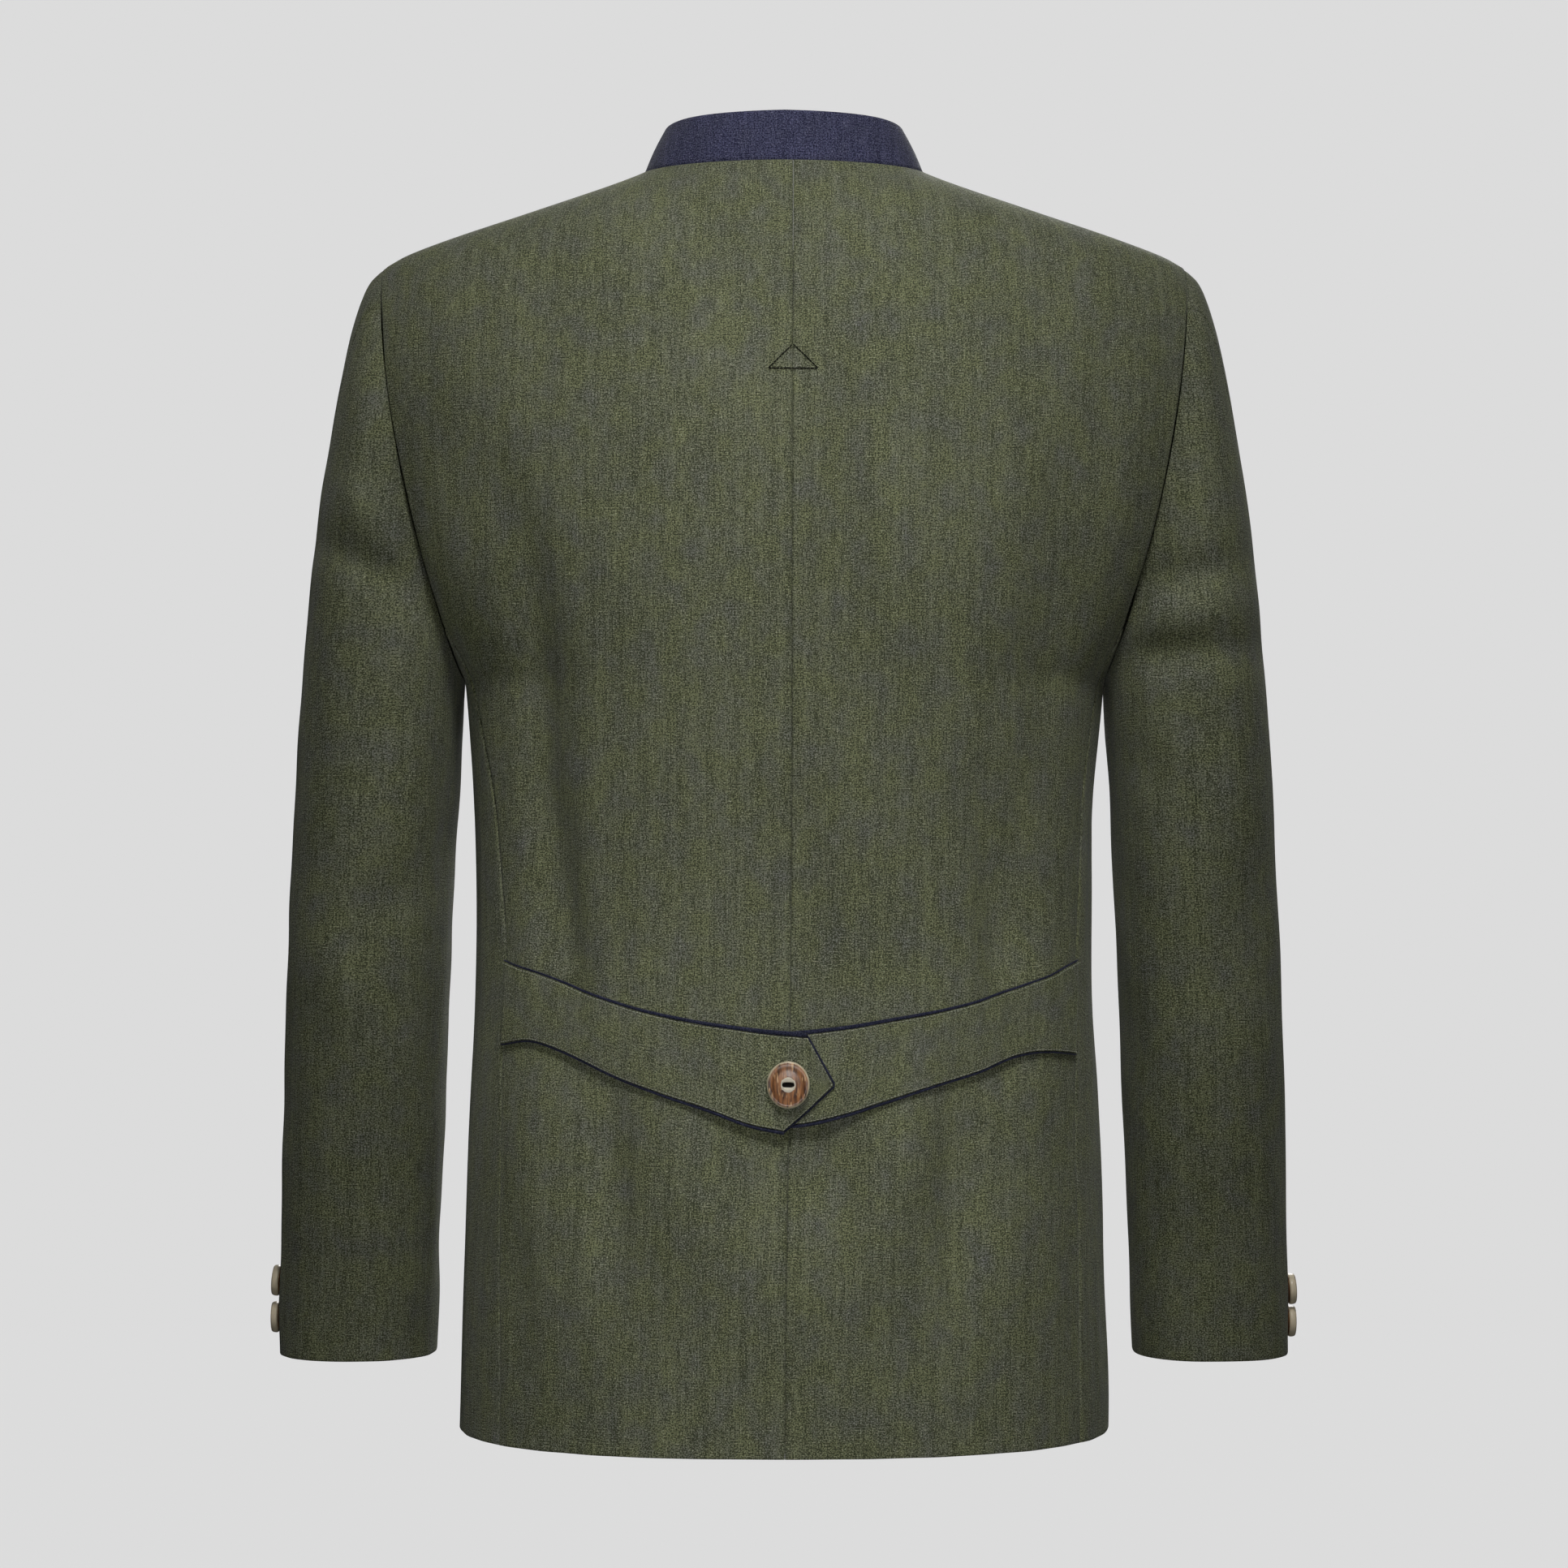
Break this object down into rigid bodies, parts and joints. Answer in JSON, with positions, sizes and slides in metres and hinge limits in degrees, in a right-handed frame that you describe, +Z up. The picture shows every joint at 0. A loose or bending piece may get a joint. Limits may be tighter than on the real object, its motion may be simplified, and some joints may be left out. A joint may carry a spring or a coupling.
{
  "type": "linen stand-collar jacket",
  "caption": "Hip-length linen jacket filled out as if worn, with a navy stand collar, a buttoned half belt with navy piping across the back and horn buttons.",
  "frame": {"origin": "middle of the neck opening, at the height of the collar seam, where the wearer's neck and shoulders hold the jacket up", "axes": "+Z up, -Y the way the wearer faces, +X towards the wearer's left"},
  "size_m": [0.5961, 0.2613, 0.7451],
  "materials": {
    "linen_green": "plain-weave olive green linen with slubs, matt",
    "linen_navy": "plain-weave navy linen, matt",
    "horn": "polished stag horn, brown with a cream rim"
  },
  "bodies": {
    "root": {"back_left": "linen_green", "side_left": "linen_green", "front_left": "linen_green", "top_sleeve_left": "linen_green", "under_sleeve_left": "linen_green", "back_right": "linen_green", "side_right": "linen_green", "front_right": "linen_green", "top_sleeve_right": "linen_green", "under_sleeve_right": "linen_green", "back_pleat": "linen_green", "belt_left": "linen_green", "belt_right": "linen_green", "collar": "linen_navy", "piping_top_left": "linen_navy", "piping_low_left": "linen_navy", "piping_top_right": "linen_navy", "piping_low_right": "linen_navy", "back_button": "horn", "cuff_button_left_1": "horn", "cuff_button_left_2": "horn", "cuff_button_right_1": "horn", "cuff_button_right_2": "horn", "front_button_1": "horn", "front_button_2": "horn", "front_button_3": "horn", "front_button_4": "horn", "front_button_5": "horn"}
  },
  "joints": []
}
